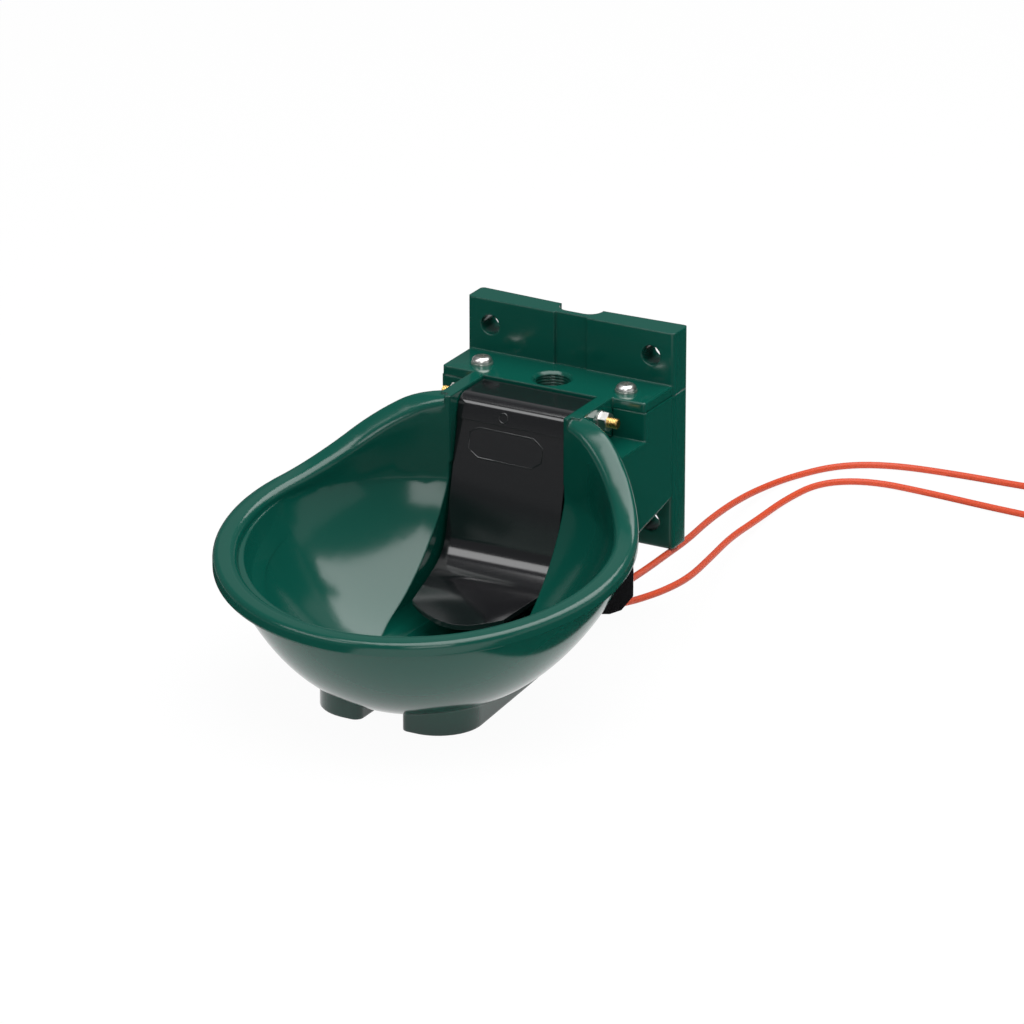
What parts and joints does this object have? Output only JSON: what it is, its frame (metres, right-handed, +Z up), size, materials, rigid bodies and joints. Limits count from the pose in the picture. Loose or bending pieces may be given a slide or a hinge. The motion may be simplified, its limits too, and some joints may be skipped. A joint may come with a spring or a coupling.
{
  "type": "heated livestock drinking bowl",
  "caption": "Wall-mounted drinking bowl for livestock with a push-tongue valve, a threaded inlet and a heating cable between its two mouldings.",
  "frame": {"origin": "middle of the footprint box, on the surface that the feet stand on", "axes": "+X to the right and +Y to the wall as seen from the bowl's front, +Z up"},
  "size_m": [0.401, 0.6157, 0.1715],
  "materials": {
    "green_moulding": "satin gloss dark green moulded plastic",
    "black_moulding": "glossy black moulded plastic",
    "brass": "turned brass",
    "steel": "zinc-plated or stainless steel",
    "rubber": "matt black rubber",
    "cable_sheath": "orange-red silicone rubber"
  },
  "bodies": {
    "bowl": {"upper_body": "green_moulding", "lower_body": "green_moulding", "tongue_pin": "brass", "pin_washers": "steel", "pin_nuts": "steel", "deck_screws": "steel", "deck_screw_washers": "steel", "valve_body": "brass", "valve_gasket": "rubber", "valve_nut": "brass", "valve_seat": "brass", "valve_spring": "steel", "valve_plug": "brass", "inlet_gasket": "rubber", "inlet_strainer": "steel", "heating_cable": "cable_sheath", "cable_gland": "black_moulding", "supply_cable": "cable_sheath", "supply_cable_coil": "cable_sheath", "supply_cable_end": "black_moulding", "trace_cable": "cable_sheath", "trace_cable_coil": "cable_sheath", "trace_cable_end": "rubber"},
    "tongue": {"tongue": "black_moulding"},
    "valve_stem": {"valve_stem": "brass", "valve_seal": "rubber"}
  },
  "joints": [
    {"name": "tongue_swing", "type": "hinge", "parent": "bowl", "child": "tongue", "pos_m": [0, 0.08475, 0.131], "axis": [1, 0, 0], "range_deg": [0, 6.5], "stiffness_Nm_per_rad": 0.6, "springref_deg": -8.59},
    {"name": "valve_push", "type": "slide", "parent": "bowl", "child": "valve_stem", "axis": [0, 1, 0], "range_m": [0, 0.0038], "deforming": ["valve_spring"]}
  ],
  "couplings": [
    {"joint": "valve_push", "follows": "tongue_swing", "m_per_rad": 0.033}
  ]
}
